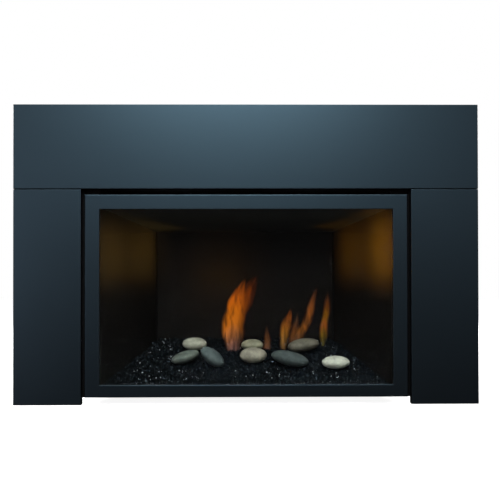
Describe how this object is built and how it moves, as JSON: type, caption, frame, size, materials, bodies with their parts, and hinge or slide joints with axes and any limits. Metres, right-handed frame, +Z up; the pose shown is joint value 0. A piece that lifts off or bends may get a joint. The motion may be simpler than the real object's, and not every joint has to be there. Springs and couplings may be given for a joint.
{
  "type": "fireplace insert",
  "caption": "Direct-vent gas fireplace insert: glass-fronted firebox with pebbles on a sloped crushed-glass bed, plain front frame, three-piece surround, vent collars on top.",
  "frame": {"origin": "bottom centre of the whole insert, on the hearth", "axes": "+X to the right seen from the front, +Y from the front to the back, +Z up"},
  "size_m": [1.096, 0.4048, 0.707],
  "materials": {
    "charcoal_powder_coat": "satin powder coat",
    "black_stove_paint": "matt heat-proof paint",
    "galvanised_sheet": "galvanised",
    "black_porcelain": "gloss enamel on steel",
    "ceramic_glass": "clear",
    "rope_gasket": "woven",
    "zinc_plate": "zinc plated",
    "magnet_black": "coated",
    "aluminised_steel": "aluminised",
    "cast_aluminium": "cast",
    "brass": "machined",
    "black_plastic": "moulded",
    "crushed_glass": "broken glass chips",
    "pale_stone": "water-worn",
    "grey_stone": "water-worn",
    "white_ceramic": "bare"
  },
  "bodies": {
    "insert": {"surround_top_panel": "charcoal_powder_coat", "surround_left_panel": "charcoal_powder_coat", "surround_right_panel": "charcoal_powder_coat", "surround_brackets": "zinc_plate", "surround_screws": "zinc_plate", "hanger_brackets": "zinc_plate", "frame_magnets": "magnet_black", "window_frame": "black_stove_paint", "window_glass": "ceramic_glass", "window_gasket": "rope_gasket", "latch_pivots": "zinc_plate", "casing_face": "black_stove_paint", "casing_wrap": "galvanised_sheet", "casing_base": "galvanised_sheet", "casing_top": "galvanised_sheet", "casing_screws": "zinc_plate", "firebox_wrap": "black_stove_paint", "firebox_top": "black_stove_paint", "firebox_floor": "black_stove_paint", "liner_left": "black_porcelain", "liner_right": "black_porcelain", "liner_back": "black_porcelain", "baffle": "black_porcelain", "flue_plate": "galvanised_sheet", "exhaust_collar": "aluminised_steel", "intake_collar": "aluminised_steel", "exhaust_duct": "aluminised_steel", "intake_duct": "galvanised_sheet", "burner_pan": "black_stove_paint", "burner_venturi": "aluminised_steel", "gas_orifice": "brass", "gas_valve": "cast_aluminium", "gas_manifold": "cast_aluminium", "gas_inlet": "brass", "gas_supply_tube": "cast_aluminium", "pilot_burner": "zinc_plate", "pilot_electrodes": "white_ceramic", "media_bed": "crushed_glass", "pale_pebbles": "pale_stone", "grey_pebbles": "grey_stone", "receiver": "black_plastic", "blower_housing": "galvanised_sheet", "blower_motor": "black_stove_paint", "mains_gland": "black_plastic"},
    "front_frame": {"front_frame": "charcoal_powder_coat", "frame_hooks": "zinc_plate"},
    "glass_latch_lower_left": {"glass_latch_lower_left": "zinc_plate"},
    "glass_latch_lower_right": {"glass_latch_lower_right": "zinc_plate"},
    "glass_latch_upper_left": {"glass_latch_upper_left": "zinc_plate"},
    "glass_latch_upper_right": {"glass_latch_upper_right": "zinc_plate"},
    "air_shutter": {"air_shutter": "zinc_plate"},
    "valve_knob": {"valve_knob": "black_plastic"},
    "receiver_slider": {"receiver_slider": "black_plastic"},
    "relief_flap_left": {"relief_flap_left": "zinc_plate"},
    "relief_flap_right": {"relief_flap_right": "zinc_plate"},
    "blower_wheel": {"blower_wheel": "galvanised_sheet"},
    "levelling_foot_front_left": {"levelling_foot_front_left": "zinc_plate"},
    "levelling_foot_front_right": {"levelling_foot_front_right": "zinc_plate"},
    "levelling_foot_rear_left": {"levelling_foot_rear_left": "zinc_plate"},
    "levelling_foot_rear_right": {"levelling_foot_rear_right": "zinc_plate"}
  },
  "joints": [
    {"name": "front_frame_tilt", "type": "hinge", "parent": "insert", "child": "front_frame", "pos_m": [0, -0.18335, 0.4818], "axis": [-1, 0, 0], "range_deg": [0, 45]},
    {"name": "glass_latch_lower_left_turn", "type": "hinge", "parent": "insert", "child": "glass_latch_lower_left", "pos_m": [-0.3685, -0.18915, 0.1182], "axis": [0, -1, 0], "range_deg": [0, 90]},
    {"name": "glass_latch_lower_right_turn", "type": "hinge", "parent": "insert", "child": "glass_latch_lower_right", "pos_m": [0.3685, -0.18915, 0.1182], "axis": [0, 1, 0], "range_deg": [0, 90]},
    {"name": "glass_latch_upper_left_turn", "type": "hinge", "parent": "insert", "child": "glass_latch_upper_left", "pos_m": [-0.3685, -0.18915, 0.3908], "axis": [0, -1, 0], "range_deg": [0, 90]},
    {"name": "glass_latch_upper_right_turn", "type": "hinge", "parent": "insert", "child": "glass_latch_upper_right", "pos_m": [0.3685, -0.18915, 0.3908], "axis": [0, 1, 0], "range_deg": [0, 90]},
    {"name": "air_shutter_slide", "type": "slide", "parent": "insert", "child": "air_shutter", "axis": [1, 0, 0], "range_m": [0, 0.012]},
    {"name": "valve_knob_turn", "type": "hinge", "parent": "insert", "child": "valve_knob", "pos_m": [0.125, -0.06935, 0.0345], "axis": [0, -1, 0], "range_deg": [0, 90]},
    {"name": "receiver_slider_slide", "type": "slide", "parent": "insert", "child": "receiver_slider", "axis": [1, 0, 0], "range_m": [0, 0.008]},
    {"name": "relief_flap_left_lift", "type": "hinge", "parent": "insert", "child": "relief_flap_left", "pos_m": [-0.17, -0.02985, 0.4836], "axis": [-1, 0, 0], "range_deg": [0, 18]},
    {"name": "relief_flap_right_lift", "type": "hinge", "parent": "insert", "child": "relief_flap_right", "pos_m": [0.17, -0.02985, 0.4836], "axis": [-1, 0, 0], "range_deg": [0, 18]},
    {"name": "blower_wheel_spin", "type": "hinge", "parent": "insert", "child": "blower_wheel", "pos_m": [0, 0.16755, 0.0477], "axis": [1, 0, 0], "continuous": true},
    {"name": "levelling_foot_front_left_screw", "type": "slide", "parent": "insert", "child": "levelling_foot_front_left", "axis": [0, 0, 1], "range_m": [-0.01, 0.008]},
    {"name": "levelling_foot_front_right_screw", "type": "slide", "parent": "insert", "child": "levelling_foot_front_right", "axis": [0, 0, 1], "range_m": [-0.01, 0.008]},
    {"name": "levelling_foot_rear_left_screw", "type": "slide", "parent": "insert", "child": "levelling_foot_rear_left", "axis": [0, 0, 1], "range_m": [-0.01, 0.008]},
    {"name": "levelling_foot_rear_right_screw", "type": "slide", "parent": "insert", "child": "levelling_foot_rear_right", "axis": [0, 0, 1], "range_m": [-0.01, 0.008]}
  ]
}
